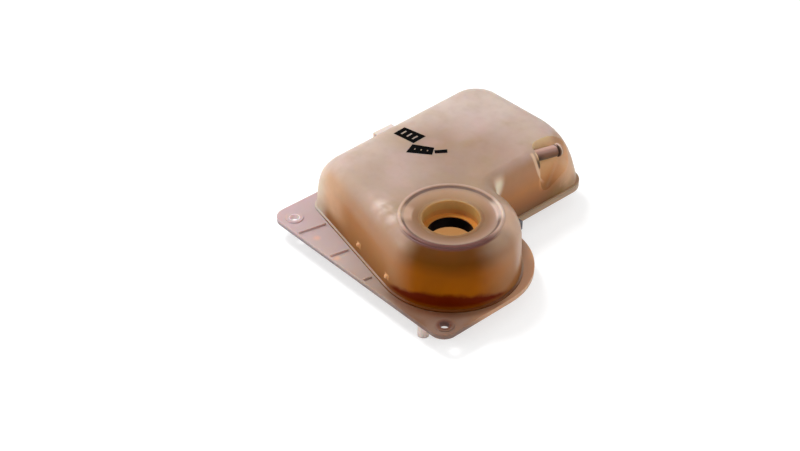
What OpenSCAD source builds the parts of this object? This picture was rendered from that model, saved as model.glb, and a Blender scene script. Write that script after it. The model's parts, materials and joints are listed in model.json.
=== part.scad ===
// Coolant expansion tank: two welded mouldings, a filler neck insert and a level sensor.
// X runs along the front edge of the mounting plate, Y away from it, Z up.
// The origin is under the middle of the tank, on the surface it stands on.

/* [Mounting plate] */
// Thickness of the plate
plate_t = 3; // [2:0.5:5]
// Depth of the turned-down rim under the plate
rim_drop = 1.5; // [1:0.5:6]
// Thickness of that rim
rim_t = 1.75; // [1.5:0.25:3]
// Distance between the two mounting holes
hole_pitch = 199; // [190:1:204]
// Diameter of each mounting hole
hole_d = 9; // [5:0.5:12]
// From the front edge to the centre of the mounting holes
hole_inset = 13; // [12:0.5:16]
// Width of the raised seat round a mounting hole
seat_w = 3.5; // [2:0.5:4]
// Height of that seat above the plate
seat_h = 1; // [0.5:0.25:2]
// Plate beyond the left hole
left_margin = 18; // [14:0.5:22]
// Plate beyond the right hole
right_margin = 12; // [12:0.5:16]
// Plate beyond the tower's wall, on the right
tower_side = 5; // [4:0.5:9]
// Radius of the plate's far right corner, round the tower
rim_r = 67; // [66:0.5:72]
// From the plate's front edge to its edge behind the tower
rim_back = 147; // [145:0.5:152]
// Width of the weld lip round the rest of the tank
lip_w = 1.5; // [1:0.25:3]
// Thickness of the upper shell's weld lip
lip_t = 1.8; // [1.5:0.1:3]
// How far back the left edge of the plate runs before it turns in to the wall
left_run = 70; // [50:1:90]

/* [Upper shell] */
// Height of the flat top above the plate
top_h = 57; // [54:0.5:66]
// Thickness of all the tank's walls
wall = 3; // [2:0.1:4]
// Radius of the round tower under the filler neck, at its foot
tower_r = 62.5; // [58:0.5:66]
// From the plate's front edge to the tower's wall
tower_front = 8.5; // [7:0.5:11]
// Angle between the tank's front wall and the plate's front edge
front_skew = 12.2; // [8:0.1:15]
// Width of the arm, from the plate's left hole to the arm's right wall
arm_w = 135; // [130:1:137]
// From the plate's front edge to the far end of the arm
arm_end = 253.5; // [245:0.5:262]
// Slant of the far-left wall
left_slant = 2.1; // [0:0.1:4]
// From the plate's left edge to the far-left wall, near the front corner
left_web = 12; // [8:0.5:16]
// Draft angle of the walls
draft = 2.7; // [1:0.1:4]
// Rounding of the tower's and the front wall's top edge, sideways
front_round = 18; // [14:0.5:20]
// The same rounding, up and down
front_round_h = 21; // [17:0.5:28]
// Rounding of the far and the left top edge, sideways
far_round = 25; // [16:0.5:27]
// The same rounding, up and down
far_round_h = 38; // [28:0.5:42]
// Rounding of the arm's right top edge, sideways
arm_round = 11; // [8:0.5:14]
// The same rounding, up and down
arm_round_h = 16; // [12:0.5:22]
// Radius of the plan corner at the front left, at its foot
near_corner_r = 13; // [10:0.5:20]
// Radius of the plan corner at the far left
far_corner_r = 34; // [26:1:42]
// Radius of the plan corner at the arm's far right
arm_corner_r = 18; // [15:0.5:26]
// Radius of the hollow corner between tower and arm
hollow_r = 8; // [5:0.5:14]

/* [Filler neck] */
// Diameter of the mouth
mouth_d = 49; // [44:0.5:52]
// Depth of the mouth down to its ledge
mouth_depth = 13.7; // [10:0.1:16]
// Outer diameter of the bead round the neck
bead_d = 91; // [86:1:94]
// Height of that bead above the flat top
bead_h = 0.8; // [0.5:0.1:2]
// How far the dish sinks below the flat top at the mouth
dish_sink = 3; // [2:0.25:4]
// Neck centre, off the tower's centre, to the right and to the front
neck_shift = 2; // [0:0.25:3]
// Inner diameter of the black insert
insert_bore_d = 39; // [36:0.5:41]
// Length of the black insert
insert_len = 10; // [8:0.5:14]
// Thickness of the black insert
insert_t = 2; // [1.5:0.1:2.5]
// Thickness of the ledge the insert stops against
ledge_t = 1.2; // [1:0.1:2.5]
// Gap all round between the insert and its seat
insert_gap = 0.05; // [0.03:0.01:0.15]

/* [Vent nipple and its pocket] */
// Outer diameter of the vent nipple
vent_d = 11; // [8:0.25:12]
// Bore of the vent nipple
vent_bore_d = 7; // [4:0.25:8]
// Height of the nipple's axis above the plate
vent_z = 48; // [46:0.5:50]
// Free length of the nipple
vent_len = 30; // [24:0.5:34]
// From the arm's right wall to the nipple's root
vent_in = 13.5; // [12:0.5:16]
// From the arm's far end to the nipple's root
vent_back = 62; // [56:1:66]
// Angle of the nipple to the arm
vent_angle = 17; // [8:1:22]
// How much the hose bead stands out from the nipple
vent_bead = 0.8; // [0.4:0.1:1.4]

/* [Lower shell] */
// Depth of the lower shell's bowl under the plate
bowl_depth = 19; // [18:0.5:24]
// From the upper shell's wall to the bowl's wall, just under the plate
bowl_in = 4; // [3.5:0.5:8]
// From the upper shell's wall to the foot of the bowl's wall
bowl_run = 22; // [18:0.5:28]
// Outer diameter of the outlet nipple
outlet_d = 15; // [12:0.5:16]
// Bore of the outlet nipple
outlet_bore_d = 11; // [8:0.5:12]
// Length of the outlet nipple outside the bowl's upper edge
outlet_len = 30; // [24:1:40]
// From the arm's far end to the outlet nipple
outlet_back = 70; // [60:1:84]
// Diameter of the locating peg
peg_d = 10; // [8:0.5:12]
// From the right mounting hole to the locating peg
peg_in = 22; // [20:0.5:28]
// From the plate's front edge to the peg's axis
peg_back = 9.5; // [8:0.5:12]
// Distance between the stiffening ribs on the plate
rib_pitch = 44.5; // [38:0.5:48]
// Height of the stiffening ribs
rib_h = 2; // [1:0.25:4]

/* [Level sensor] */
// Height of the sensor's axis above the plate
sensor_z = 6.4; // [6.2:0.1:9]
// From the hollow corner's end to the sensor's axis
sensor_off = 6.5; // [6:0.5:12]
// Length of the sensor's plug outside the tank
plug_len = 13; // [10:0.5:16]
// Width of the plug
plug_w = 11; // [10:0.5:13]
// Height of the plug
plug_h = 9; // [8:0.2:10]
// Length of the sensor's probe inside the tank
probe_len = 46; // [30:1:60]
// Diameter of the probe
probe_d = 7; // [6:0.25:8]
// Gap all round between the probe and its bore
probe_gap = 0.1; // [0.05:0.01:0.2]
// Thickness of the seal ring's section
seal_t = 1.5; // [1:0.1:1.8]
// Distance between the two contact pins
pin_pitch = 4.4; // [3.6:0.1:5]
// Side of each square contact pin
pin_w = 0.8; // [0.6:0.1:1.2]

/* [Hidden] */
eps = 0.01;
over = 1;
small_steps = 24;
round_steps = 48;
bead_steps = 96;

// The plate's places, counted from its front left corner region
hole_left_x = 4.5;
hole_right_x = hole_left_x + hole_pitch;
plate_left = hole_left_x - left_margin;
plate_corner_r = hole_inset;
peg_x = hole_right_x - peg_in;
peg_y = peg_back;

// The tower stands in the plate's near right corner
plate_right = hole_right_x + right_margin;
tower_x = plate_right - tower_side - tower_r;
tower_y = tower_front + tower_r;
neck_x = tower_x + neck_shift;
neck_y = tower_y - neck_shift;
arm_right = hole_left_x + arm_w;
left_wall_x = plate_left + left_web;
left_wall_y = 40;

// Heights
stand = plate_t + bowl_depth;
draft_slope = tan(draft);

function dir(a) = [cos(a), sin(a)];
function dot2(a, b) = a[0] * b[0] + a[1] * b[1];

// The plan outline is a chain of arcs. Each has a centre, a radius, the first and the last direction of
// its outward normal, a number of steps, and 1 for a bulge or -1 for a hollow.
front_normal = -90 - front_skew;
left_normal = 180 + left_slant;
left_gap = left_wall_x * cos(left_normal) + left_wall_y * sin(left_normal);
front_gap = dot2([tower_x, tower_y], dir(front_normal)) + tower_r;
least_r = 4;

// Steps of the outline's arcs
tower_arc_steps = 36;
hollow_steps = 8;
corner_steps = 12;
near_steps = 10;
rim_steps = 24;

// A corner's centre lies its own radius inside two straight walls, each given by its normal and its
// distance from the frame's zero along that normal
function corner_centre(n1, g1, n2, g2) = [
    (g1 * sin(n2) - g2 * sin(n1)) / sin(n2 - n1),
    (g2 * cos(n1) - g1 * cos(n2)) / sin(n2 - n1)
];

// The centre of a hollow corner between a round wall and the arm's right wall
function hollow_centre(round_at, round_r, wall_x, r) = [
    wall_x + r,
    round_at[1] + sqrt(pow(round_r + r, 2) - pow(wall_x + r - round_at[0], 2))
];
function turn_to(a, b) = atan2(b[1] - a[1], b[0] - a[0]);

// The tank's outline with each wall moved inwards by its own amount: the tower and the front wall, the
// arm's right wall, its far end and the left wall. Radii: hollow, arm, far left and near left corner.
function tank_arcs(front_in, right_in, end_in, left_in, radii) =
    let (tower_at = [tower_x, tower_y])
    let (round_r = tower_r - front_in)
    let (hollow_at = hollow_centre(tower_at, round_r, arm_right - right_in, radii[0]))
    let (turn = turn_to(tower_at, hollow_at))
    [
        [tower_at, round_r, front_normal, turn, tower_arc_steps, 1],
        [hollow_at, radii[0], turn, 0, hollow_steps, -1],
        [[arm_right - right_in - radii[1], arm_end - end_in - radii[1]], radii[1], 0, 90, corner_steps, 1],
        [corner_centre(90, arm_end - end_in - radii[2], left_normal, left_gap - left_in - radii[2]),
         radii[2], 90, left_normal, corner_steps, 1],
        [corner_centre(left_normal, left_gap - left_in - radii[3], 360 + front_normal,
                       front_gap - front_in - radii[3]),
         radii[3], left_normal, 360 + front_normal, near_steps, 1]
    ];
function even_arcs(d) = tank_arcs(d, d, d, d, [
    hollow_r + d,
    max(arm_corner_r - d, least_r),
    max(far_corner_r - d, least_r),
    max(near_corner_r - d, least_r)
]);

// Points of an arc with their outward normals, and the whole chain with its long gaps filled
function arc_points(arc) = [
    for (i = [0:arc[4]])
        let (a = arc[2] + (arc[3] - arc[2]) * i / arc[4])
            [arc[0] + arc[5] * arc[1] * dir(a), dir(a)]
];
gap_steps = 4;
function chain(arcs) = [
    for (k = [0:len(arcs) - 1])
        let (here = arc_points(arcs[k]), next = arc_points(arcs[(k + 1) % len(arcs)]))
        let (n = len(here), last = here[n - 1], way = next[0][0] - last[0])
        let (straight = norm(way) > eps)
            each concat([for (i = [0:n - (straight ? 1 : 2)]) here[i]], [
                for (i = [1:1:(straight ? gap_steps - 1 : 0)])
                    [last[0] + way * i / gap_steps, last[1]]
            ])
];

// The ring starts in the middle of the near left corner, because every other point is in plain sight from
// there, and the flat ends of a solid are filled from their first point
function ring(arcs, z) =
    let (all = chain(arcs), n = len(all), first = n - gap_steps - near_steps / 2)
        [for (i = [0:n - 1]) let (p = all[(i + first) % n][0]) [p[0], p[1], z]];

// How far a wall has moved inwards at height z: its draft and its rounded top edge
function fall(z, high, side_round, up_round) =
    let (t = max(0, (z - high + up_round) / up_round))
        z * draft_slope + side_round * (1 - sqrt(max(0, 1 - t * t)));

// The ring at height z, for a surface one gap inside the tank's outside
function shell_ring(z, gap) =
    let (high = top_h - gap, s = z / top_h)
    let (front_in = gap + fall(z, high, front_round - gap, front_round_h - gap))
    let (right_in = gap + fall(z, high, arm_round - gap, arm_round_h - gap))
    let (end_in = gap + fall(z, high, far_round - gap, far_round_h - gap))
    ring(tank_arcs(front_in, right_in, end_in, end_in, [
        hollow_r + (front_in + right_in) / 2,
        arm_corner_r - gap + arm_corner_grow * s,
        far_corner_r - gap - far_corner_shrink * s,
        near_corner_r - gap + near_corner_grow * s
    ]), z);
arm_corner_grow = 30;
far_corner_shrink = 12;
near_corner_grow = 9;

// A closed solid through a stack of rings that all have the same number of points
module loft(rings) {
    n = len(rings[0]);
    m = len(rings);
    points = [for (r = rings) each r];
    bottom = [for (i = [0:n - 1]) i];
    top = [for (i = [n - 1:-1:0]) (m - 1) * n + i];
    sides = [
        for (k = [0:m - 2])
            for (i = [0:n - 1])
                let (a = k * n + i, b = k * n + (i + 1) % n)
                    each [[a, a + n, b + n], [a, b + n, b]]
    ];
    polyhedron(points = points, faces = concat([bottom], [top], sides), convexity = 10);
}

fillet_steps = 10;
lip_step = 0.3;
module outer_loft() {
    foot = top_h - far_round_h;
    loft([
        ring(even_arcs(-lip_w), 0),
        ring(even_arcs(-lip_w), lip_t),
        shell_ring(lip_t + lip_step, 0),
        for (i = [0:fillet_steps])
            shell_ring(foot + far_round_h * sin(90 * i / fillet_steps), 0)
    ]);
}
module inner_loft() {
    foot = top_h - far_round_h;
    high = far_round_h - wall;
    loft([
        shell_ring(-eps, wall),
        for (i = [0:fillet_steps])
            shell_ring(foot + high * sin(90 * i / fillet_steps), wall)
    ]);
}
module bowl_loft(layers) {
    loft([for (l = layers) ring(even_arcs(l[0]), l[1])]);
}

// The lower bowl: its wall slopes in to a flat foot. Each turn is rounded by points that are given by how
// far they lie inwards and how high above the foot or how far below the plate.
foot_turn = [[6, 0], [2.5, 0.6], [0, 2.2]];
shoulder_turn = [[3, 5], [0.8, 2]];
function bowl_layers(shift, lift) = [
    for (t = foot_turn) [bowl_run + t[0] + shift, lift - stand + t[1]],
    for (t = shoulder_turn) [bowl_in + t[0] + shift, lift - plate_t - t[1]]
];

// The plate: a web in front of the tank, a rim round the tower and the weld lip round the rest
rim_at = [plate_right - rim_r, rim_back - rim_r];
rim_hollow_r = 4;
rim_hollow = hollow_centre(rim_at, rim_r, arm_right + lip_w, rim_hollow_r);
rim_turn = turn_to(rim_at, rim_hollow);
web_r = 8;
web_turn = 145;
web_run = 45;
web_start_y = left_run + web_run;
web_start_x = left_wall_x - lip_w - (web_start_y - left_wall_y) * tan(left_slant);
web_hollow = [web_start_x, web_start_y] + web_r * dir(left_normal);
web_gap = dot2(web_hollow, dir(web_turn)) - web_r;
web_bulge_x = plate_left + web_r;
web_bulge_y = (web_gap - web_r - web_bulge_x * cos(web_turn)) / sin(web_turn);
lip_arcs = even_arcs(-lip_w);
plate_arcs = [
    [[plate_right - plate_corner_r, plate_corner_r], plate_corner_r, -90, 0, corner_steps, 1],
    [rim_at, rim_r, 0, rim_turn, rim_steps, 1],
    [rim_hollow, rim_hollow_r, rim_turn, 0, hollow_steps, -1],
    lip_arcs[2],
    lip_arcs[3],
    [web_hollow, web_r, left_normal, web_turn, hollow_steps, -1],
    [[web_bulge_x, web_bulge_y], web_r, web_turn, 180, hollow_steps, 1],
    [[plate_left + plate_corner_r, plate_corner_r], plate_corner_r, 180, 270, corner_steps, 1]
];
plate_outline = chain(plate_arcs);
module plate_shape(d) {
    polygon([for (p = plate_outline) p[0] - d * p[1]]);
}

// Puts the plate's frame on the surface the tank stands on
outlet_tip = left_wall_x - outlet_len;
mid_x = (outlet_tip + plate_right) / 2;
mid_y = (arm_end + lip_w) / 2;
module place() {
    translate([-mid_x, -mid_y, stand]) children();
}

// Neck heights
dish_z = top_h - dish_sink;
ledge_z = dish_z - mouth_depth;
insert_top = ledge_z - ledge_t;
insert_r = insert_bore_d / 2 + insert_t;
neck_tube_r = mouth_d / 2 + wall;
neck_tube_end = insert_top - insert_len;
mouth_chamfer = 0.4;
mouth_lip = 2.6;
mouth_slope = 1;
ledge_clear = 0.5;

// The bead is half round, with a groove inside it
bead_w = 3.4;
bead_r = bead_d / 2;
step_r = bead_r - bead_w;
bead_steps_up = 8;
groove_w = 1.8;
groove_depth = 2.5;
ring_root = 8;

// The bead round the neck and the dish that falls from it to the mouth, as one turned profile
module neck_ring() {
    crest_z = top_h + bead_h - bead_w / 2;
    translate([neck_x, neck_y, 0])
        rotate_extrude($fn = bead_steps)
            polygon(concat(
                [
                    [mouth_d / 2 - wall, neck_tube_end],
                    [neck_tube_r, neck_tube_end],
                    [neck_tube_r, dish_z - wall],
                    [step_r - wall, top_h - ring_root],
                    [bead_r, top_h - ring_root]
                ],
                [
                    for (i = [0:bead_steps_up])
                        [bead_r - bead_w / 2, crest_z] + bead_w / 2 * dir(180 * i / bead_steps_up)
                ],
                [
                    [step_r - groove_w / 3, top_h - groove_depth],
                    [step_r - groove_w * 2 / 3, top_h - groove_depth],
                    [step_r - groove_w, top_h - groove_depth / 2],
                    [mouth_d / 2 + mouth_lip + mouth_slope, dish_z - ledge_clear],
                    [mouth_d / 2 + mouth_lip, dish_z],
                    [mouth_d / 2 + mouth_chamfer, dish_z],
                    [mouth_d / 2 - wall, dish_z - wall - mouth_chamfer]
                ]
            ));
}

// What stays solid under the dish where the hollow of the tank would be
module neck_fill() {
    translate([neck_x, neck_y, 0])
        rotate_extrude($fn = bead_steps)
            polygon([
                [0, neck_tube_end],
                [neck_tube_r, neck_tube_end],
                [neck_tube_r, dish_z - wall],
                [step_r, top_h - wall - groove_depth / 2],
                [bead_r, top_h - wall + eps],
                [0, top_h - wall + eps]
            ]);
}

// Clears the flat top under the dish, so that the turned profile alone makes its surface
module dish_cut() {
    translate([neck_x, neck_y, dish_z - wall])
        cylinder(r1 = mouth_d / 2 + over, r2 = step_r + bead_w / 2, h = wall + dish_sink + eps,
                 $fn = bead_steps);
}

module neck_bores() {
    translate([neck_x, neck_y, ledge_z])
        cylinder(d = mouth_d, h = top_h, $fn = bead_steps);
    translate([neck_x, neck_y, neck_tube_end - over])
        cylinder(d = insert_bore_d + 2 * ledge_clear, h = top_h, $fn = bead_steps);
    translate([neck_x, neck_y, neck_tube_end - over])
        cylinder(r = insert_r + insert_gap, h = insert_len + over, $fn = bead_steps);
}

// The vent nipple lies in a scoop out of the arm's top right corner. The scoop is spanned by balls, each
// given by how far it lies outside the arm's right wall, its way along the arm and its height.
vent_root = [arm_right - vent_in, arm_end - vent_back];
scoop_r = 10;
ball_steps = 28;
scoop_near = vent_root[1] + scoop_r;
scoop_mid = arm_end - 40;
scoop_far = arm_end + 6;
scoop_out = 30;
scoop_balls = [
    [4, scoop_near, 23],
    [6, scoop_mid, 32],
    [-1, scoop_far, 53],
    [-11.5, scoop_near, 63.5],
    [-17, scoop_far, 65],
    [scoop_out, scoop_near, 63.5],
    [scoop_out, scoop_far, 66]
];
module vent_pocket(grow) {
    hull()
        for (b = scoop_balls)
            translate([arm_right + b[0], b[1], b[2]])
                sphere(r = scoop_r + grow, $fn = ball_steps);
}

vent_tail = 7;
vent_bead_back = 5.5;
vent_bead_w = 1.6;
vent_neck = 1.4;
module vent_line() {
    translate([vent_root[0], vent_root[1], vent_z])
        rotate([0, 0, -vent_angle])
            rotate([-90, 0, 0])
                children();
}
module vent_nipple() {
    vent_line() {
        translate([0, 0, -vent_tail])
            cylinder(d = vent_d, h = vent_tail + vent_len - vent_bead_back, $fn = round_steps);
        translate([0, 0, vent_len - vent_bead_back - eps])
            cylinder(d = vent_d - vent_neck, h = vent_bead_w + 2 * eps, $fn = round_steps);
        translate([0, 0, vent_len - vent_bead_back + vent_bead_w])
            cylinder(d = vent_d + 2 * vent_bead, h = vent_bead_w, $fn = round_steps);
        translate([0, 0, vent_len - vent_bead_back + 2 * vent_bead_w - eps])
            cylinder(d1 = vent_d, d2 = vent_d - vent_neck, h = vent_bead_back - 2 * vent_bead_w + eps,
                     $fn = round_steps);
    }
}
module vent_bore() {
    vent_line()
        translate([0, 0, -vent_tail - over])
            cylinder(d = vent_bore_d, h = vent_tail + vent_len + 2 * over, $fn = round_steps);
}

// A lug on the far-left wall, just under the top, on two ribs
lug_y = 119;
lug_w = 22;
lug_t = 5;
lug_reach = 18;
lug_out = 6;
lug_sink = 11;
lug_rib_t = 2;
lug_rib_h = 10;
lug_rib_reach = 12;
module side_lug() {
    z0 = top_h - lug_sink;
    translate([left_wall_x + lug_out, lug_y - lug_w / 2, z0])
        cube([lug_reach, lug_w, lug_t]);
    for (y = [lug_y - lug_w / 2, lug_y + lug_w / 2 - lug_rib_t])
        translate([left_wall_x + lug_out + over, y, z0 + over - lug_rib_h])
            cube([lug_rib_reach, lug_rib_t, lug_rib_h]);
}

// Small round bosses on the front wall's foot
boss_d = 4.5;
boss_sink = 0.8;
boss_z = 11;
boss_places = [52, 2];
module front_bosses() {
    for (along = boss_places)
        translate([tower_x, tower_y, 0])
            rotate([0, 0, -front_skew])
                translate([-along, boss_sink - tower_r, boss_z])
                    sphere(d = boss_d, $fn = small_steps);
}

// The sensor's seat on the arm's right wall, beside the hollow corner
base_arcs = even_arcs(0);
sensor_y = base_arcs[1][0][1] + sensor_off;
seat_r = 6;
seat_out = 2.5;
seat_in = 9;
seat_face = arm_right + seat_out;
seat_back = arm_right - seat_in;
module sensor_line() {
    translate([seat_face, sensor_y, sensor_z])
        rotate([0, 90, 0])
            children();
}
module sensor_seat() {
    translate([seat_back, sensor_y, sensor_z])
        rotate([0, 90, 0])
            cylinder(r = seat_r, h = seat_out + seat_in, $fn = round_steps);
}

module upper_shell() {
    color([0.78, 0.66, 0.56])
        place()
            difference() {
                union() {
                    difference() {
                        outer_loft();
                        vent_pocket(0);
                        dish_cut();
                    }
                    neck_ring();
                    vent_nipple();
                    side_lug();
                    front_bosses();
                    sensor_seat();
                }
                difference() {
                    inner_loft();
                    vent_pocket(wall);
                    neck_fill();
                    vent_line()
                        translate([0, 0, -vent_tail])
                            cylinder(d = vent_d, h = vent_tail + vent_len, $fn = round_steps);
                    sensor_seat();
                }
                neck_bores();
                vent_bore();
                sensor_line()
                    translate([0, 0, seat_back - seat_face - over])
                        cylinder(d = probe_d + 2 * probe_gap, h = seat_out + seat_in + 2 * over,
                                 $fn = round_steps);
            }
}

// The outlet leaves the bowl level, towards the left
outlet_y = arm_end - outlet_back;
outlet_drop = 2.2;
outlet_bead = 1;
outlet_bead_back = 6;
outlet_bead_w = 4;
outlet_collar_w = 2;
outlet_hose_stop = 10;
outlet_bore_in = 12;
outlet_z = -plate_t - outlet_d / 2 - outlet_drop;
outlet_root = left_wall_x + bowl_run;
module outlet_line() {
    translate([outlet_root, outlet_y, outlet_z])
        rotate([0, -90, 0])
            children();
}
module outlet_nipple() {
    full = outlet_root - outlet_tip;
    outlet_line() {
        cylinder(d = outlet_d, h = full, $fn = round_steps);
        translate([0, 0, full - outlet_bead_back])
            cylinder(d1 = outlet_d + 2 * outlet_bead, d2 = outlet_d, h = outlet_bead_w, $fn = round_steps);
        translate([0, 0, full - outlet_len + outlet_hose_stop])
            cylinder(d = outlet_d + 2 * outlet_bead, h = outlet_collar_w, $fn = round_steps);
    }
}

rib_start = 24;
rib_len = 27;
rib_t = 1.6;
rib_count = 3;
module plate_ribs() {
    for (i = [0:rib_count - 1])
        translate([rib_start + i * rib_pitch, rim_t, -eps])
            rotate([0, 0, -front_skew])
                cube([rib_t, rib_len - i * rib_pitch * tan(front_skew), rib_h]);
}

module lower_shell() {
    color([0.80, 0.70, 0.66])
        place()
            difference() {
                union() {
                    // The plate with its turned-down rim
                    translate([0, 0, -plate_t - rim_drop])
                        difference() {
                            linear_extrude(plate_t + rim_drop) plate_shape(0);
                            translate([0, 0, -over])
                                linear_extrude(rim_drop + over) plate_shape(rim_t);
                        }
                    bowl_loft(concat(bowl_layers(0, 0), [[bowl_in, -over]]));
                    outlet_nipple();
                    for (x = [hole_left_x, hole_right_x])
                        translate([x, hole_inset, -plate_t - rim_drop])
                            cylinder(d = hole_d + 2 * seat_w, h = plate_t + rim_drop + seat_h,
                                     $fn = round_steps);
                    translate([peg_x, peg_y, -stand])
                        cylinder(d = peg_d, h = bowl_depth + over, $fn = round_steps);
                    plate_ribs();
                }
                bowl_loft(concat(bowl_layers(wall, wall), [[bowl_in + wall, over]]));
                outlet_line()
                    translate([0, 0, -outlet_bore_in])
                        cylinder(d = outlet_bore_d, h = outlet_bore_in + outlet_root - outlet_tip + over,
                                 $fn = round_steps);
                for (x = [hole_left_x, hole_right_x])
                    translate([x, hole_inset, -plate_t - rim_drop - over])
                        cylinder(d = hole_d, h = plate_t + rim_drop + seat_h + 2 * over, $fn = round_steps);
            }
}

module neck_insert() {
    color([0.03, 0.03, 0.03])
        place()
            translate([neck_x, neck_y, neck_tube_end])
                difference() {
                    cylinder(r = insert_r, h = insert_len, $fn = bead_steps);
                    translate([0, 0, -over])
                        cylinder(d = insert_bore_d, h = insert_len + 2 * over, $fn = bead_steps);
                }
}

// The sensor: a collar against the seat, a plug outside with its socket, a probe inside
collar_t = 2;
collar_in = 0.5;
plug_wall = 1.4;
socket_depth = 7.5;
seal_at = -5;
groove_over = 0.5;
pin_root = 2;
module level_sensor() {
    color([0.20, 0.21, 0.22])
        place()
            difference() {
                sensor_line() {
                    cylinder(r = seat_r - collar_in, h = collar_t, $fn = round_steps);
                    translate([-plug_h / 2, -plug_w / 2, collar_t - eps])
                        cube([plug_h, plug_w, plug_len - collar_t + eps]);
                    translate([0, 0, -probe_len])
                        cylinder(d = probe_d, h = probe_len + eps, $fn = round_steps);
                }
                sensor_line() {
                    translate([-plug_h / 2 + plug_wall, -plug_w / 2 + plug_wall, plug_len - socket_depth])
                        cube([plug_h - 2 * plug_wall, plug_w - 2 * plug_wall, socket_depth + over]);
                    // Groove of the seal ring
                    translate([0, 0, seal_at - seal_t])
                        difference() {
                            cylinder(d = probe_d + 2 * groove_over, h = 2 * seal_t, $fn = round_steps);
                            translate([0, 0, -over])
                                cylinder(d = probe_d - 2 * seal_t + 2 * probe_gap, h = 2 * (seal_t + over),
                                         $fn = round_steps);
                        }
                    for (s = [-1, 1])
                        translate([-pin_w / 2, s * pin_pitch / 2 - pin_w / 2,
                                   plug_len - socket_depth - pin_root])
                            cube([pin_w, pin_w, pin_root + over]);
                }
            }
}

module sensor_seal() {
    color([0.05, 0.05, 0.05])
        place()
            sensor_line()
                translate([0, 0, seal_at])
                    rotate_extrude($fn = round_steps)
                        translate([(probe_d - seal_t) / 2 + probe_gap, 0])
                            circle(d = seal_t, $fn = small_steps);
}

module sensor_pin(side) {
    color([0.75, 0.65, 0.35])
        place()
            sensor_line()
                translate([-pin_w / 2, side * pin_pitch / 2 - pin_w / 2, plug_len - socket_depth - pin_root])
                    cube([pin_w, pin_w, socket_depth]);
}
module sensor_pin_left() {
    sensor_pin(-1);
}
module sensor_pin_right() {
    sensor_pin(1);
}

upper_shell();
lower_shell();
neck_insert();
level_sensor();
sensor_seal();
sensor_pin_left();
sensor_pin_right();
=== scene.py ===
import bpy
import bmesh
import json
import math
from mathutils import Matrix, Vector


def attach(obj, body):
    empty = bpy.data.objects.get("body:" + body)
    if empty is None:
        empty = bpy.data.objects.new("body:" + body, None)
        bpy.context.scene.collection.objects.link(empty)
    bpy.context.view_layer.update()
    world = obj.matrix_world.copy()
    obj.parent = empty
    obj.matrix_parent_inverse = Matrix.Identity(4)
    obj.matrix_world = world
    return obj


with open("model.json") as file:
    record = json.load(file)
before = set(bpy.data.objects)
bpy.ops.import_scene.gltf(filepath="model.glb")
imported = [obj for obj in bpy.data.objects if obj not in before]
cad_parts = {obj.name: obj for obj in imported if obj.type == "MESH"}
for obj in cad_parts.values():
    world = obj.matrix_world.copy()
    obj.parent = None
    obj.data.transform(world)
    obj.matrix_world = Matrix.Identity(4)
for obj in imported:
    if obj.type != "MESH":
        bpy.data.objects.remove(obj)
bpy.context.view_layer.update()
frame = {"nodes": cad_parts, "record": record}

# Camera, fitted to the outline in the photograph
CAMERA_PLACE = (0.7893, -0.7677, 0.8344)
CAMERA_TARGET = (-0.0157, -0.0505, 0.022)
LENS_MM = 67.5
SENSOR_MM = 36.0
CAMERA_REACH = 50

# Places on the part that its mounts give, in metres like every length here
MOUNTS = {mount["name"]: mount for mount in frame["record"]["mounts"]}
NECK = MOUNTS["filler_mouth"]["pos_m"][:2]
PEG = MOUNTS["locating_peg"]["pos_m"][:2]
NIPPLE = MOUNTS["vent_nipple"]
HOLES_X, HOLES_Y, _ = MOUNTS["mounting_holes"]["pos_m"]
HALF_PITCH = MOUNTS["mounting_holes"]["dims"]["spacing_x_mm"] / 2000
LEFT_HOLE = (HOLES_X - HALF_PITCH, HOLES_Y)
RIGHT_HOLE = (HOLES_X + HALF_PITCH, HOLES_Y)

# Places that no mount gives
TOWER = (0.056, -0.0565)
BOSSES = ((-0.0073, -0.1070), (0.0414, -0.1173))
GATES = ((-0.0510, -0.1180), (-0.0171, -0.1231))
PLATE_Z = 0.022
LEDGE_Z = 0.0623
WALL_TOP = 0.074
MOUTH_TOP = 0.076
TOP_Z = 0.079

# The tower's front with painted shade looks this way, in degrees from +X
SHADE_HEADING = -46
# The crescent of painted shade at the tower's foot: its height above the plate at its ends, its rise
# between them, and how tightly it is drawn in
FOOT_SHADE_BASE = 0.0022
FOOT_SHADE_RISE = 0.0150
FOOT_SHADE_BEND = 1.35
# The curved near edge of the vent's pocket: its top, its place there, and how fast it bends away below
EDGE_TOP = 0.075
EDGE_Y = 0.0590
EDGE_BEND = 13.0
# The painted highlight down the L's hollow corner: a point on it, and how far it moves for each metre of
# height
CORNER = (0.0458, 0.0102, 0.0653)
CORNER_LEAN = (-0.45, 0.385)
# Painted highlights on the shoulder left of the neck: their places, and how far from there they end and are
# full
SHOULDER_SPOTS = (
    (0.0080, -0.0925, 0.0120, 0.0010),
    (0.0170, -0.0945, 0.0130, 0.0020),
    (0.0270, -0.0965, 0.0110, 0.0010),
)

WHITE = (1, 1, 1, 1)
PLASTIC_IOR = 1.49
# The share of light that passes through a wall
THROUGH = 0.34
# The plain shine of the plastic, and how much of it the wall with painted shade loses
SHINE = 0.22
SHINE_LOST = 0.19
# The share of white in the light that passes
MILK = 0.2
# The strength of the painted glow of the bowl's floor
FLOOR_LIGHT = 1.15
NOISE_ROUGHNESS = 0.55
BEVEL_SAMPLES = 6


def linear(rgb):
    """sRGB 0..255 to linear, with alpha 1."""
    out = []
    for v in rgb:
        v = v / 255
        out.append(v / 12.92 if v <= 0.04045 else ((v + 0.055) / 1.055) ** 2.4)
    return (*out, 1)


def place_camera():
    camera = bpy.data.objects.new("view", bpy.data.cameras.new("view"))
    bpy.context.scene.collection.objects.link(camera)
    camera.data.lens = LENS_MM
    camera.data.sensor_width = SENSOR_MM
    camera.data.clip_end = CAMERA_REACH
    camera.location = CAMERA_PLACE
    camera.rotation_euler = (Vector(CAMERA_TARGET) - camera.location).to_track_quat("-Z", "Y").to_euler()
    bpy.context.scene.camera = camera


place_camera()
bpy.context.scene.view_settings.view_transform = "Standard"


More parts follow.
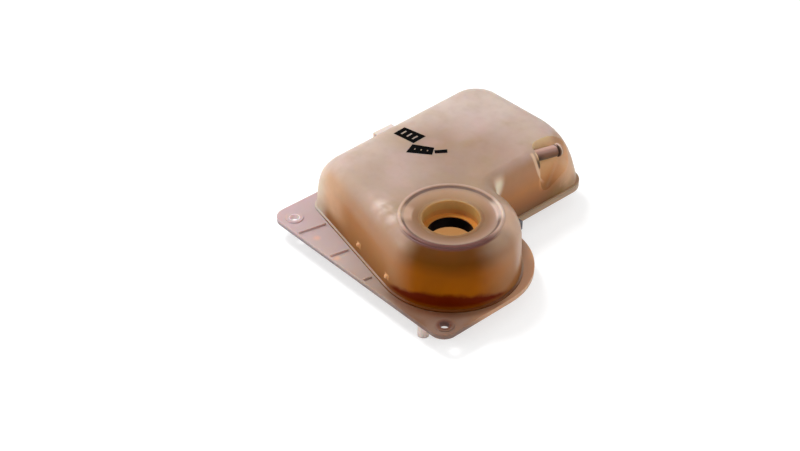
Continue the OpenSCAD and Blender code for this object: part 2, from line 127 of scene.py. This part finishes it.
class Nodes:
    """Short names for building one material's node tree.

    A mask goes from 0 to 1 over the surface. span fades it between two values, band lets it rise and fall
    again, all_of and any_of join masks, and paint lays a colour over another where its masks are.
    """

    def __init__(self, name):
        self.mat = bpy.data.materials.new(name)
        self.mat.use_nodes = True
        self.tree = self.mat.node_tree
        self.tree.nodes.clear()
        self.out = self.tree.nodes.new("ShaderNodeOutputMaterial")
        self.bsdf = self.tree.nodes.new("ShaderNodeBsdfPrincipled")
        self.link(self.bsdf.outputs[0], self.out.inputs[0])
        self.place = self.tree.nodes.new("ShaderNodeTexCoord").outputs["Object"]
        self.x, self.y, self.z = self.parts(self.place)
        normal = self.tree.nodes.new("ShaderNodeNewGeometry").outputs["Normal"]
        self.nx, _, self.nz = self.parts(normal)

    def link(self, a, b):
        self.tree.links.new(a, b)

    def feed(self, socket, value):
        """Links a socket, or sets a plain value."""
        if isinstance(value, bpy.types.NodeSocket):
            self.link(value, socket)
        else:
            socket.default_value = value

    def parts(self, vector):
        split = self.tree.nodes.new("ShaderNodeSeparateXYZ")
        self.link(vector, split.inputs[0])
        return split.outputs

    def math(self, kind, *values):
        n = self.tree.nodes.new("ShaderNodeMath")
        n.operation = kind
        for socket, value in zip(n.inputs, values):
            self.feed(socket, value)
        return n.outputs[0]

    def add(self, a, b):
        return self.math("ADD", a, b)

    def sub(self, a, b):
        return self.math("SUBTRACT", a, b)

    def mul(self, a, b):
        return self.math("MULTIPLY", a, b)

    def length(self, a, b):
        return self.math("SQRT", self.add(self.mul(a, a), self.mul(b, b)))

    def span(self, value, lo, hi, out_lo=0.0, out_hi=1.0, soft=True):
        """out_lo up to lo, out_hi from hi on, and a fade between them; lo may be the larger."""
        n = self.tree.nodes.new("ShaderNodeMapRange")
        n.interpolation_type = "SMOOTHSTEP" if soft else "LINEAR"
        self.feed(n.inputs["Value"], value)
        n.inputs["From Min"].default_value = lo
        n.inputs["From Max"].default_value = hi
        n.inputs["To Min"].default_value = out_lo
        n.inputs["To Max"].default_value = out_hi
        return n.outputs[0]

    def band(self, value, start, full, last, end):
        """0 up to start, 1 from full to last, and 0 again from end on."""
        return self.mul(self.span(value, start, full), self.span(value, end, last))

    def all_of(self, *masks):
        out = masks[0]
        for mask in masks[1:]:
            out = self.mul(out, mask)
        return out

    def any_of(self, *masks):
        out = masks[0]
        for mask in masks[1:]:
            out = self.math("MAXIMUM", out, mask)
        return out

    def outside(self, mask):
        return self.sub(1.0, mask)

    def mix(self, share, a, b):
        n = self.tree.nodes.new("ShaderNodeMix")
        n.data_type = "RGBA"
        self.feed(n.inputs[0], share)
        self.feed(n.inputs[6], a)
        self.feed(n.inputs[7], b)
        return n.outputs[2]

    def paint(self, under, over, *masks):
        """The colour under, with over (a socket, or sRGB 0..255) laid on it where all the masks are."""
        if not isinstance(over, bpy.types.NodeSocket):
            over = linear(over)
        return self.mix(self.all_of(*masks), under, over)

    def ramp(self, value, *stops):
        """Colours in sRGB 0..255 along a value from 0 to 1."""
        n = self.tree.nodes.new("ShaderNodeValToRGB")
        elements = n.color_ramp.elements
        while len(elements) < len(stops):
            elements.new(0.5)
        for element, (at, rgb) in zip(elements, stops):
            element.position = at
            element.color = linear(rgb)
        self.feed(n.inputs[0], value)
        return n.outputs[0]

    def noise(self, scale, detail):
        n = self.tree.nodes.new("ShaderNodeTexNoise")
        n.inputs["Scale"].default_value = scale
        n.inputs["Detail"].default_value = detail
        n.inputs["Roughness"].default_value = NOISE_ROUGHNESS
        self.link(self.place, n.inputs["Vector"])
        return n.outputs[0]

    def mottle(self, scale, detail, lo, hi, share=1.0):
        """Soft blotches, from 0 where the noise is under lo to share where it is over hi."""
        return self.span(self.noise(scale, detail), lo, hi, 0.0, share)

    def distance(self, cx, cy):
        """How far from an upright axis."""
        return self.length(self.sub(self.x, cx), self.sub(self.y, cy))

    def angle_from(self, cx, cy, heading):
        """Turn about an upright axis from a heading: -180 to 180 degrees, anticlockwise from above."""
        dx = self.sub(self.x, cx)
        dy = self.sub(self.y, cy)
        c = math.cos(math.radians(heading))
        s = math.sin(math.radians(heading))
        along = self.add(self.mul(dx, c), self.mul(dy, s))
        side = self.sub(self.mul(dy, c), self.mul(dx, s))
        return self.mul(self.math("ARCTAN2", side, along), 180 / math.pi)

    def spot(self, cx, cy, outer, inner):
        """1 within inner of an upright axis, 0 beyond outer."""
        return self.span(self.distance(cx, cy), outer, inner)

    def leaning_spot(self, at, lean, outer, inner):
        """As spot, about an axis through at that moves by lean for each metre of height."""
        rise = self.sub(self.z, at[2])
        dx = self.sub(self.sub(self.x, at[0]), self.mul(rise, lean[0]))
        dy = self.sub(self.sub(self.y, at[1]), self.mul(rise, lean[1]))
        return self.span(self.length(dx, dy), outer, inner)

    def tube_mask(self, mount, outer, inner):
        """1 within inner of a level mount's axis, 0 beyond outer."""
        at = mount["pos_m"]
        axis = mount["axis"]
        dx = self.sub(self.x, at[0])
        dy = self.sub(self.y, at[1])
        off = self.sub(self.mul(dx, axis[1]), self.mul(dy, axis[0]))
        return self.span(self.length(off, self.sub(self.z, at[2])), outer, inner)

    def bump(self, height, strength, distance):
        n = self.tree.nodes.new("ShaderNodeBump")
        n.inputs["Strength"].default_value = strength
        n.inputs["Distance"].default_value = distance
        self.feed(n.inputs["Height"], height)
        return n

    def ripple(self, scale, strength, distance, rounding):
        """The soft waves of moulded plastic, over edges whose shading is rounded."""
        rounded = self.tree.nodes.new("ShaderNodeBevel")
        rounded.samples = BEVEL_SAMPLES
        rounded.inputs["Radius"].default_value = rounding
        waves = self.bump(self.noise(scale, 2.0), strength, distance)
        self.link(rounded.outputs[0], waves.inputs["Normal"])
        self.link(waves.outputs[0], self.bsdf.inputs["Normal"])


class TankNodes(Nodes):
    """Nodes with the measures that the upper shell's colours are placed by."""

    def __init__(self, name):
        super().__init__(name)
        self.from_neck = self.distance(*NECK)
        self.turn = self.angle_from(*TOWER, SHADE_HEADING)
        # the tower's round side wall, below the neck's bead
        from_tower = self.distance(*TOWER)
        self.round_wall = self.all_of(self.band(from_tower, 0.0440, 0.0475, 0.0650, 0.0670),
                                      self.span(self.from_neck, 0.0454, 0.0464))
        self.arm_wall = self.all_of(self.span(self.nx, 0.2, 0.7), self.span(self.y, -0.01, 0.02))
        # grows across the neck, away from the camera
        self.across = self.sub(self.y, self.x)
        # how far past the near edge of the vent's pocket
        drop = self.sub(EDGE_TOP, self.z)
        edge = self.add(EDGE_Y, self.mul(self.mul(drop, drop), EDGE_BEND))
        self.past_edge = self.sub(self.y, edge)


def plastic(n, colour, roughness, depth, shine=SHINE, milk=MILK):
    """Translucent polypropylene: a soft shine over a body that light enters, and partly passes."""
    n.link(colour, n.bsdf.inputs["Base Color"])
    n.bsdf.inputs["Roughness"].default_value = roughness
    n.bsdf.inputs["IOR"].default_value = PLASTIC_IOR
    n.feed(n.bsdf.inputs["Specular IOR Level"], shine)
    n.bsdf.inputs["Subsurface Weight"].default_value = 0.5
    n.bsdf.inputs["Subsurface Radius"].default_value = (1.0, 0.5, 0.25)
    n.bsdf.inputs["Subsurface Scale"].default_value = depth
    clear = n.tree.nodes.new("ShaderNodeBsdfTranslucent")
    n.link(n.mix(milk, colour, WHITE), clear.inputs["Color"])
    both = n.tree.nodes.new("ShaderNodeMixShader")
    both.inputs[0].default_value = THROUGH
    n.link(n.bsdf.outputs[0], both.inputs[1])
    n.link(clear.outputs[0], both.inputs[2])
    n.link(both.outputs[0], n.out.inputs[0])


def side_walls(n):
    """Darker and more orange towards the foot, with painted light that makes the body's left end and the
    arm's far end paler.
    """
    height = n.span(n.z, PLATE_Z, WALL_TOP, soft=False)
    body = n.ramp(height, (0.0, (156, 98, 46)), (0.3, (166, 110, 56)),
                  (0.6, (180, 121, 68)), (1.0, (182, 147, 121)))
    arm = n.ramp(height, (0.0, (116, 78, 40)), (0.22, (160, 102, 54)),
                 (0.5, (194, 130, 72)), (1.0, (188, 146, 114)))
    colour = n.mix(n.arm_wall, body, arm)
    front = n.span(n.y, -0.02, -0.06)
    left_end = n.all_of(n.span(n.x, -0.022, -0.062), front, n.span(n.z, 0.027, 0.042))
    arm_end = n.all_of(n.span(n.x, 0.020, 0.042), n.span(n.y, 0.080, 0.104))
    share = n.span(n.z, 0.072, 0.050, 0.5, 0.75)
    colour = n.paint(colour, (234, 196, 160), n.any_of(left_end, arm_end), share)
    return n.paint(colour, (230, 216, 198), n.span(n.x, -0.062, -0.080), front, 0.75)


def top_face(n):
    """Paler and pinker away from the camera as a painted sheen and at the left as painted light, browner
    along its middle, and mottled.
    """
    depth = n.span(n.y, -0.09, 0.13, soft=False)
    colour = n.ramp(depth, (0.0, (176, 148, 124)), (0.35, (172, 146, 130)),
                    (0.6, (182, 154, 138)), (1.0, (226, 214, 208)))
    colour = n.paint(colour, (226, 210, 198), n.span(n.x, -0.03, -0.09), 0.85)
    colour = n.paint(colour, (184, 156, 120), n.mottle(14.0, 2.0, 0.42, 0.66, 0.40))
    colour = n.paint(colour, (206, 174, 168), n.mottle(23.0, 3.0, 0.48, 0.68, 0.45))
    colour = n.paint(colour, (170, 146, 112), n.mottle(41.0, 2.0, 0.52, 0.70, 0.30))
    near_left = n.all_of(n.span(n.x, 0.030, -0.010), n.span(n.y, 0.000, -0.040), 0.28)
    far_left = n.all_of(n.span(n.x, -0.005, -0.030), n.span(n.y, 0.015, 0.045), 0.36)
    return n.paint(colour, (224, 208, 202), n.any_of(near_left, far_left))


def faces_up(n):
    """Where the top's colours go: on what faces up, but not on the rounded floor of the vent's pocket."""
    recess = n.all_of(n.span(n.x, 0.014, 0.028), n.span(n.y, 0.0600, 0.0640), n.span(n.z, 0.0760, 0.0710))
    return n.all_of(n.span(n.nz, 0.35, 0.95), n.outside(recess))


def shaded_front(n, colour):
    """The deep brown front of the tower, which is painted shade, and its mask."""
    deep = n.all_of(n.band(n.turn, -52, -24, 20, 60), n.round_wall, n.span(n.z, PLATE_Z, PLATE_Z + 0.0004))
    brown = n.ramp(n.span(n.z, PLATE_Z, 0.078, soft=False), (0.0, (158, 88, 0)), (0.35, (170, 94, 0)),
                   (0.6, (160, 88, 0)), (0.82, (112, 62, 0)), (1.0, (106, 64, 26)))
    brown = n.paint(brown, (130, 68, 0), n.mottle(26.0, 2.0, 0.40, 0.65, 0.4))
    return n.paint(colour, brown, deep, 0.97), deep


def foot_shade(n, colour):
    """The dark crescent of painted shade at the tower's foot, with an uneven upper edge, and its mask."""
    arch = n.math("COSINE", n.mul(n.turn, math.radians(FOOT_SHADE_BEND)))
    above = n.sub(n.z, n.add(n.mul(arch, FOOT_SHADE_RISE), PLATE_Z + FOOT_SHADE_BASE))
    above = n.add(above, n.span(n.noise(55.0, 3.0), 0.30, 0.70, -0.0014, 0.0014))
    dark = n.all_of(n.span(above, 0.0020, -0.0036), n.round_wall, n.band(n.turn, -64, -44, 50, 78),
                    n.span(n.z, 0.0238, 0.0290, 0.35, 1.0))
    return n.paint(colour, (100, 18, 0), dark, 0.95), dark


def dish_and_bead(n, colour):
    """The neck's dish, darker towards the mouth and with painted light at its far side, the bead's crest
    with a painted highlight, and painted shade on its near side and in its groove.
    """
    dish = n.ramp(n.span(n.from_neck, 0.0250, 0.0400, soft=False),
                  (0.0, (136, 98, 58)), (0.45, (150, 112, 82)), (1.0, (182, 146, 130)))
    dish = n.paint(dish, (204, 170, 136), n.span(n.across, -0.1165, -0.070, 0.0, 0.5))
    colour = n.paint(colour, dish, n.span(n.from_neck, 0.0405, 0.0360), n.span(n.z, 0.0600, 0.0755), 0.9)
    crest = n.band(n.from_neck, 0.0422, 0.0436, 0.0450, 0.0462)
    colour = n.paint(colour, (214, 186, 174), crest, 0.5)
    near_side = n.all_of(n.band(n.from_neck, 0.0418, 0.0430, 0.0466, 0.0480),
                         n.span(n.across, -0.1400, -0.1650), n.span(n.z, 0.0730, 0.0750))
    colour = n.paint(colour, (112, 70, 66), near_side, 0.95)
    groove = n.band(n.from_neck, 0.0398, 0.0404, 0.0421, 0.0425)
    return n.paint(colour, (104, 80, 76), groove, 0.75)


def mouth_and_ledge(n, colour):
    """The mouth's wall, paler in its upper half, and the ledge at its foot."""
    mouth = n.all_of(n.span(n.from_neck, 0.0266, 0.0250), n.span(n.z, 0.0764, 0.0752))
    wall = n.ramp(n.span(n.z, LEDGE_Z, MOUTH_TOP, soft=False), (0.0, (214, 150, 76)),
                  (0.30, (210, 150, 80)), (0.42, (212, 164, 92)), (1.0, (212, 170, 104)))
    colour = n.paint(colour, wall, mouth)
    return n.paint(colour, (232, 148, 66), mouth, n.span(n.z, LEDGE_Z + 0.0006, LEDGE_Z + 0.0002))


def vent_pocket(n, colour):
    """The scooped pocket of the vent nipple is more olive, with painted light that makes it paler towards
    its top, and a painted highlight as a pale streak down its near edge.
    """
    flat_top = n.all_of(n.span(n.nz, 0.75, 0.93), n.span(n.z, 0.0700, 0.0750))
    pocket = n.all_of(n.span(n.x, 0.014, 0.028), n.band(n.y, 0.0620, 0.0640, 0.0920, 0.1010),
                      n.outside(flat_top), n.span(n.z, 0.036, 0.052))
    olive = n.ramp(n.span(n.z, 0.030, 0.078, soft=False), (0.0, (196, 142, 84)), (0.31, (220, 160, 104)),
                   (0.52, (232, 184, 132)), (0.8, (238, 192, 142)), (1.0, (246, 220, 176)))
    colour = n.paint(colour, olive, pocket, 0.8)
    streak = n.all_of(n.span(n.math("ABSOLUTE", n.past_edge), 0.0024, 0.0008), n.span(n.x, 0.034, 0.038),
                      n.band(n.z, 0.0400, 0.0480, 0.0770, 0.0785))
    return n.paint(colour, (250, 216, 182), streak, 0.75)


def vent_nipple(n, colour):
    """Brown, with painted light above and painted shade below, a painted shadow at its root, painted shade
    in the neck and a painted highlight on the collar near its tip.
    """
    nipple = n.all_of(n.tube_mask(NIPPLE, 0.0068, 0.0061), n.span(n.y, 0.0640, 0.0655))
    tube = n.ramp(n.span(n.nz, -0.5, 1.0, soft=False), (0.0, (58, 34, 12)), (0.35, (112, 70, 44)),
                  (0.7, (136, 94, 84)), (0.9, (170, 128, 118)), (1.0, (212, 172, 158)))
    colour = n.paint(colour, tube, nipple, 0.9)
    root = n.all_of(n.span(n.past_edge, 0.0012, 0.0024), n.span(n.y, 0.0740, 0.0675),
                    n.band(n.z, 0.0625, 0.0650, 0.0690, 0.0745), n.span(n.x, 0.030, 0.035))
    colour = n.paint(colour, (44, 24, 6), root, 0.85)
    colour = n.paint(colour, (44, 24, 14), nipple, n.band(n.y, 0.0866, 0.0870, 0.0886, 0.0890), 0.9)
    return n.paint(colour, (226, 204, 188), nipple, n.band(n.y, 0.0889, 0.0892, 0.0908, 0.0912), 0.85)


def neck_highlight(n, colour, rgb, heading, ring, reach, share):
    """A painted highlight on an arc of the neck: ring is its band of radii, reach where it stops being full
    and ends.
    """
    about = n.angle_from(*NECK, heading)
    last, end = reach
    return n.paint(colour, rgb, n.band(n.from_neck, *ring), n.band(about, -end, -last, last, end), share)


def painted_highlights(n, colour):
    """Painted highlights on the hollow corner, the bead's two sides, the shoulder left of it, and the
    tower's right edge.
    """
    corner = n.leaning_spot(CORNER, CORNER_LEAN, 0.0100, 0.0010)
    colour = n.paint(colour, (255, 240, 214), corner, n.band(n.z, 0.0460, 0.0600, 0.0690, 0.0775))
    colour = neck_highlight(n, colour, (238, 216, 204), 60, (0.0375, 0.0392, 0.0445, 0.0462), (8, 24), 0.7)
    colour = neck_highlight(n, colour, (226, 194, 172), 221, (0.0320, 0.0345, 0.0440, 0.0462), (6, 20), 0.6)
    shoulder = n.any_of(*[n.spot(*spot) for spot in SHOULDER_SPOTS])
    colour = n.paint(colour, (236, 218, 208), shoulder, n.mottle(60.0, 2.0, 0.32, 0.60), 0.82)
    right_edge = n.all_of(n.band(n.turn, 62, 78, 100, 118), n.span(n.z, 0.030, 0.045), n.round_wall)
    return n.paint(colour, (214, 180, 154), right_edge, 0.8)


def bosses_and_lug(n, colour):
    """The two small bosses get a painted orange highlight, and the thin lug on the far-left wall is pale.
    """
    bosses = n.any_of(*[n.spot(*place, 0.0040, 0.0022) for place in BOSSES])
    colour = n.paint(colour, (234, 180, 130), bosses, n.band(n.z, 0.0298, 0.0314, 0.0356, 0.0372), 0.8)
    lug = n.all_of(n.span(n.x, -0.0795, -0.0815), n.band(n.y, -0.0200, -0.0194, 0.0027, 0.0031),
                   n.band(n.z, 0.0660, 0.0675, 0.0734, 0.0740))
    return n.paint(colour, (236, 226, 222), lug, 0.7)


def foot_of_walls(n, colour):
    """Browner blotches low on the arm's side, and the weld lip, pale by the arm and dark with painted shade
    by the tower.
    """
    low = n.all_of(n.span(n.z, 0.040, 0.026), n.arm_wall, n.mottle(34.0, 3.0, 0.40, 0.60))
    colour = n.paint(colour, (128, 88, 26), low, 0.55)
    low = n.all_of(n.spot(0.0474, 0.0880, 0.0190, 0.0030), n.span(n.z, 0.042, 0.028), n.arm_wall,
                   n.mottle(80.0, 2.0, 0.34, 0.56))
    colour = n.paint(colour, (138, 102, 34), low, 0.6)
    arm_lip = n.all_of(n.span(n.z, 0.0244, 0.0239), n.span(n.y, -0.02, 0.02), n.span(n.x, 0.0, 0.02))
    colour = n.paint(colour, (184, 152, 122), arm_lip)
    tower_lip = n.all_of(n.span(n.z, 0.0246, 0.0240), n.band(n.turn, -70, -40, 60, 90))
    return n.paint(colour, (112, 62, 30), tower_lip, 0.8)


def tank_material(name):
    n = TankNodes(name)
    colour = n.mix(faces_up(n), side_walls(n), top_face(n))
    # the tower's front and the crescent at its foot are painted shade
    colour, deep = shaded_front(n, colour)
    colour, dark = foot_shade(n, colour)
    for feature in (dish_and_bead, mouth_and_ledge, vent_pocket, vent_nipple,
                    painted_highlights, bosses_and_lug, foot_of_walls):
        colour = feature(n, colour)
    # the wall with painted shade has no fine grain, hardly any shine and no milk in it
    shaded = n.any_of(deep, dark)
    unshaded = n.outside(shaded)
    colour = n.paint(colour, (150, 112, 84), n.mottle(90.0, 4.0, 0.35, 0.75, 0.14), unshaded)
    shine = n.sub(SHINE, n.mul(shaded, SHINE_LOST))
    plastic(n, colour, 0.28, 0.006, shine, n.mul(unshaded, MILK))
    n.ripple(38.0, 0.10, 0.0012, 0.0008)
    return n.mat


def plate_colours(n):
    """The mounting plate, browner to the right, its greyer rim, the bowl below it and the arm's foot."""
    along = n.span(n.x, -0.10, 0.11, soft=False)
    colour = n.ramp(along, (0.0, (204, 180, 182)), (0.4, (202, 182, 176)), (0.68, (168, 142, 124)),
                    (0.85, (124, 84, 57)), (1.0, (126, 84, 56)))
    rim = n.ramp(along, (0.0, (150, 142, 148)), (0.5, (130, 114, 112)), (1.0, (108, 84, 76)))
    colour = n.paint(colour, rim, n.span(n.z, 0.0215, 0.0185))
    colour = n.paint(colour, (176, 142, 112), n.span(n.z, 0.0172, 0.0150))
    colour = n.paint(colour, (200, 186, 178), n.mottle(20.0, 3.0, 0.4, 0.7, 0.25))
    above_bowl = n.span(n.z, 0.0165, 0.0180)
    colour = n.paint(colour, (190, 158, 130), n.span(n.y, 0.0, 0.03), above_bowl)
    # paler beside the tower, and browner where it meets the tower's front, as painted shade
    beside = n.all_of(n.span(n.x, 0.074, 0.096), n.span(n.y, -0.106, -0.070), above_bowl)
    colour = n.paint(colour, (222, 176, 140), beside, 0.85)
    turn = n.angle_from(*TOWER, SHADE_HEADING)
    front_shade = n.all_of(n.spot(*TOWER, 0.0740, 0.0655), n.band(turn, -64, -40, 36, 60))
    return n.paint(colour, (112, 56, 16), front_shade, n.span(n.z, 0.0214, 0.0219), 0.6)


def plate_marks(n, colour):
    """Two orange gate marks, painted shade round the right hole, the pale peg, and a painted highlight on
    the left hole's seat.
    """
    gates = n.any_of(*[n.spot(*place, 0.0052, 0.0006) for place in GATES])
    colour = n.paint(colour, (240, 190, 162), gates, n.span(n.z, 0.0215, 0.0219), 0.7)
    colour = n.paint(colour, (96, 42, 26), n.spot(*RIGHT_HOLE, 0.0090, 0.0050), 0.7)
    colour = n.paint(colour, (238, 222, 216), n.spot(*PEG, 0.0064, 0.0056), n.span(n.z, 0.0176, 0.0168))
    seat = n.all_of(n.spot(*LEFT_HOLE, 0.0054, 0.0047), n.span(n.z, 0.0172, 0.0182))
    return n.paint(colour, (255, 236, 240), seat, 0.95)


def painted_bowl_glow(n):
    """The bowl's floor under the neck glows with a painted emission, which stands in for the light that its
    thin walls let in from all sides.
    """
    under_neck = n.all_of(n.spot(0.002, -0.005, 0.052, 0.036), n.band(n.z, 0.0018, 0.0022, 0.0060, 0.0080),
                          n.span(n.nz, 0.3, 0.8))
    n.bsdf.inputs["Emission Color"].default_value = linear((198, 142, 86))
    n.link(n.mul(under_neck, FLOOR_LIGHT), n.bsdf.inputs["Emission Strength"])


def plate_material(name):
    n = Nodes(name)
    plastic(n, plate_marks(n, plate_colours(n)), 0.32, 0.005)
    # the bowl's floor gets a painted glow
    painted_bowl_glow(n)
    n.ripple(30.0, 0.08, 0.001, 0.0006)
    return n.mat


def plain_material(name, rgb, roughness, metallic=0.0, grain=0.0, shine=0.3):
    """One colour with paler clouds in it, and a fine grain if grain says how strong."""
    n = Nodes(name)
    paler = linear([min(255, v * 1.25 + 6) for v in rgb])
    shade = n.mix(n.mottle(160.0, 4.0, 0.3, 0.7, 0.3), linear(rgb), paler)
    n.link(shade, n.bsdf.inputs["Base Color"])
    n.bsdf.inputs["Roughness"].default_value = roughness
    n.bsdf.inputs["Metallic"].default_value = metallic
    n.bsdf.inputs["Specular IOR Level"].default_value = shine
    if grain:
        n.link(n.bump(n.noise(700.0, 2.0), grain, 0.0003).outputs[0], n.bsdf.inputs["Normal"])
    return n.mat


# The nodes' materials
materials = {
    "upper_shell": tank_material("tank_top"),
    "lower_shell": plate_material("tank_base"),
    "neck_insert": plain_material("insert_black", (6, 6, 7), 0.35),
    "level_sensor": plain_material("sensor_grey", (92, 95, 102), 0.5, grain=0.2),
    "sensor_seal": plain_material("seal_black", (18, 18, 18), 0.6),
    "sensor_pin_left": plain_material("contact", (205, 176, 96), 0.25, 1.0),
}
materials["sensor_pin_right"] = materials["sensor_pin_left"]
for name, obj in frame["nodes"].items():
    for slot in obj.material_slots:
        slot.material = materials[name]

# The nodes' shading: smooth, with an edge kept where faces turn by more than this many degrees
SHARP_FROM = 30
WELD_DISTANCE = 2e-6


def soften_tree():
    """Geometry nodes that join the faces and shade them smooth, apart from the sharp edges."""
    tree = bpy.data.node_groups.new("soften", "GeometryNodeTree")
    for way in ("INPUT", "OUTPUT"):
        tree.interface.new_socket("Geometry", in_out=way, socket_type="NodeSocketGeometry")
    start = tree.nodes.new("NodeGroupInput")
    weld = tree.nodes.new("GeometryNodeMergeByDistance")
    weld.inputs["Distance"].default_value = WELD_DISTANCE
    faces = tree.nodes.new("GeometryNodeSetShadeSmooth")
    faces.domain = "FACE"
    sharp = tree.nodes.new("GeometryNodeSetShadeSmooth")
    sharp.domain = "EDGE"
    sharp.inputs["Shade Smooth"].default_value = False
    angle = tree.nodes.new("GeometryNodeInputMeshEdgeAngle")
    wide = tree.nodes.new("FunctionNodeCompare")
    wide.data_type = "FLOAT"
    wide.operation = "GREATER_THAN"
    wide.inputs["B"].default_value = math.radians(SHARP_FROM)
    end = tree.nodes.new("NodeGroupOutput")
    tree.links.new(start.outputs[0], weld.inputs[0])
    tree.links.new(weld.outputs[0], faces.inputs["Geometry"])
    tree.links.new(faces.outputs[0], sharp.inputs["Geometry"])
    tree.links.new(angle.outputs["Unsigned Angle"], wide.inputs["A"])
    tree.links.new(wide.outputs[0], sharp.inputs["Selection"])
    tree.links.new(sharp.outputs[0], end.inputs[0])
    return tree


soft_edges = soften_tree()
for obj in frame["nodes"].values():
    obj.modifiers.new("soften", "NODES").node_group = soft_edges
    even = obj.modifiers.new("even", "WEIGHTED_NORMAL")
    even.keep_sharp = True
    even.weight = 100

# The print on the top: two plain fields with slits and a bar, with their corners in millimetres
BLOCK = ((-68.2, 1.8), (-44.2, 6.5), (-43.2, -9.6), (-67.2, -12.6))
STRIP = ((-42.6, -11.4), (-25.4, -0.5), (-18.4, -9.8), (-36.9, -24.6))
TAIL = ((-22.4, -3.4), (-15.8, 6.4), (-11.6, 2.8), (-18.2, -6.4))
SLITS = 3
INK_Z = TOP_Z + 0.00006
INK = plain_material("ink", (2, 2, 2), 0.7, shine=0.03)


def print_shape(name, corners):
    """A flat printed shape on the tank's top."""
    mesh = bpy.data.meshes.new(name)
    bm = bmesh.new()
    face = bm.faces.new([bm.verts.new((x / 1000, y / 1000, INK_Z)) for x, y in corners])
    bm.normal_update()
    if face.normal.z < 0:
        bmesh.ops.reverse_faces(bm, faces=[face])
    bm.to_mesh(mesh)
    bm.free()
    mesh.materials.append(INK)
    obj = bpy.data.objects.new(name, mesh)
    bpy.context.scene.collection.objects.link(obj)
    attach(obj, "root")


def print_bar(name, corners, u0, u1, v0, v1):
    """A bar inside the shape of four corners: u runs from the first to the second, v to the last."""
    a, b, c, d = (Vector(p) for p in corners)
    ends = [(u0, v0), (u1, v0), (u1, v1), (u0, v1)]
    print_shape(name, [a.lerp(b, u).lerp(d.lerp(c, u), v) for u, v in ends])


def print_field(name, corners, rim, slit):
    """A field with even slits: rim and slit are shares of its depth and its width."""
    print_bar(name + "_top", corners, 0, 1, 0, rim)
    print_bar(name + "_foot", corners, 0, 1, 1 - rim, 1)
    post = (1 - SLITS * slit) / (SLITS + 1)
    for i in range(SLITS + 1):
        left = i * (post + slit)
        print_bar("%s_post_%d" % (name, i), corners, left, left + post, rim, 1 - rim)


print_field("print_block", BLOCK, 0.28, 0.07)
print_field("print_strip", STRIP, 0.42, 0.05)
print_shape("print_tail", TAIL)

# Floor, world and lamps
FLOOR_REACH = 9
FLOOR_Z = -0.0002
# The floor's tone for bounced light, its tone as it is seen, and the glow added where it is seen
FLOOR_TONE = 0.86
FLOOR_SEEN = 0.50
FLOOR_GLOW = 0.58
# The strength of the world's light, and how bright the world is where it is seen
WORLD_LIGHT = 0.62
WORLD_SEEN = 0.8
LAMP_AIM = (0, 0, 0.04)
# name, place, size in metres and power in watts
LAMPS = (
    ("key", (-0.9, -0.3, 1.9), 0.7, 30),
    ("left", (-1.2, -1.5, 0.9), 0.8, 12),
    ("fill", (1.6, 0.4, 1.4), 1.0, 10),
)


def either_ray(tree, first, second):
    """1 for two kinds of ray and 0 for all others."""
    path = tree.nodes.new("ShaderNodeLightPath")
    either = tree.nodes.new("ShaderNodeMath")
    either.operation = "MAXIMUM"
    tree.links.new(path.outputs[first], either.inputs[0])
    tree.links.new(path.outputs[second], either.inputs[1])
    return either.outputs[0]


def floor_material():
    """A pale floor that shows almost white and keeps the object's shadow."""
    material = bpy.data.materials.new("pale_floor")
    material.use_nodes = True
    tree = material.node_tree
    tree.nodes.clear()
    seen = either_ray(tree, "Is Camera Ray", "Is Glossy Ray")
    tone = tree.nodes.new("ShaderNodeMix")
    tone.data_type = "RGBA"
    tone.inputs[6].default_value = (FLOOR_TONE, FLOOR_TONE, FLOOR_TONE, 1)
    tone.inputs[7].default_value = (FLOOR_SEEN, FLOOR_SEEN, FLOOR_SEEN, 1)
    tree.links.new(seen, tone.inputs[0])
    diffuse = tree.nodes.new("ShaderNodeBsdfDiffuse")
    tree.links.new(tone.outputs[2], diffuse.inputs[0])
    level = tree.nodes.new("ShaderNodeMath")
    level.operation = "MULTIPLY"
    level.inputs[1].default_value = FLOOR_GLOW
    tree.links.new(seen, level.inputs[0])
    glow = tree.nodes.new("ShaderNodeEmission")
    tree.links.new(level.outputs[0], glow.inputs["Strength"])
    both = tree.nodes.new("ShaderNodeAddShader")
    tree.links.new(diffuse.outputs[0], both.inputs[0])
    tree.links.new(glow.outputs[0], both.inputs[1])
    out = tree.nodes.new("ShaderNodeOutputMaterial")
    tree.links.new(both.outputs[0], out.inputs[0])
    return material


def lay_floor():
    mesh = bpy.data.meshes.new("floor")
    corners = [(-1, -1), (1, -1), (1, 1), (-1, 1)]
    mesh.from_pydata([(x * FLOOR_REACH, y * FLOOR_REACH, FLOOR_Z) for x, y in corners], [], [(0, 1, 2, 3)])
    mesh.materials.append(floor_material())
    floor = bpy.data.objects.new("floor", mesh)
    bpy.context.scene.collection.objects.link(floor)


def studio_world():
    """A soft white light from all round, which looks brighter than it shines."""
    world = bpy.data.worlds.new("studio")
    bpy.context.scene.world = world
    world.use_nodes = True
    tree = world.node_tree
    tree.nodes.clear()
    pick = tree.nodes.new("ShaderNodeMixShader")
    tree.links.new(either_ray(tree, "Is Camera Ray", "Is Transmission Ray"), pick.inputs[0])
    for socket, strength in ((pick.inputs[1], WORLD_LIGHT), (pick.inputs[2], WORLD_SEEN)):
        background = tree.nodes.new("ShaderNodeBackground")
        background.inputs[0].default_value = WHITE
        background.inputs[1].default_value = strength
        tree.links.new(background.outputs[0], socket)
    out = tree.nodes.new("ShaderNodeOutputWorld")
    tree.links.new(pick.outputs[0], out.inputs[0])


def hang_lamp(name, place, size, watts):
    data = bpy.data.lights.new(name, "AREA")
    data.shape = "DISK"
    data.size = size
    data.energy = watts
    lamp = bpy.data.objects.new(name, data)
    bpy.context.scene.collection.objects.link(lamp)
    lamp.location = place
    lamp.rotation_euler = (Vector(LAMP_AIM) - lamp.location).to_track_quat("-Z", "Y").to_euler()


lay_floor()
studio_world()
for lamp_values in LAMPS:
    hang_lamp(*lamp_values)
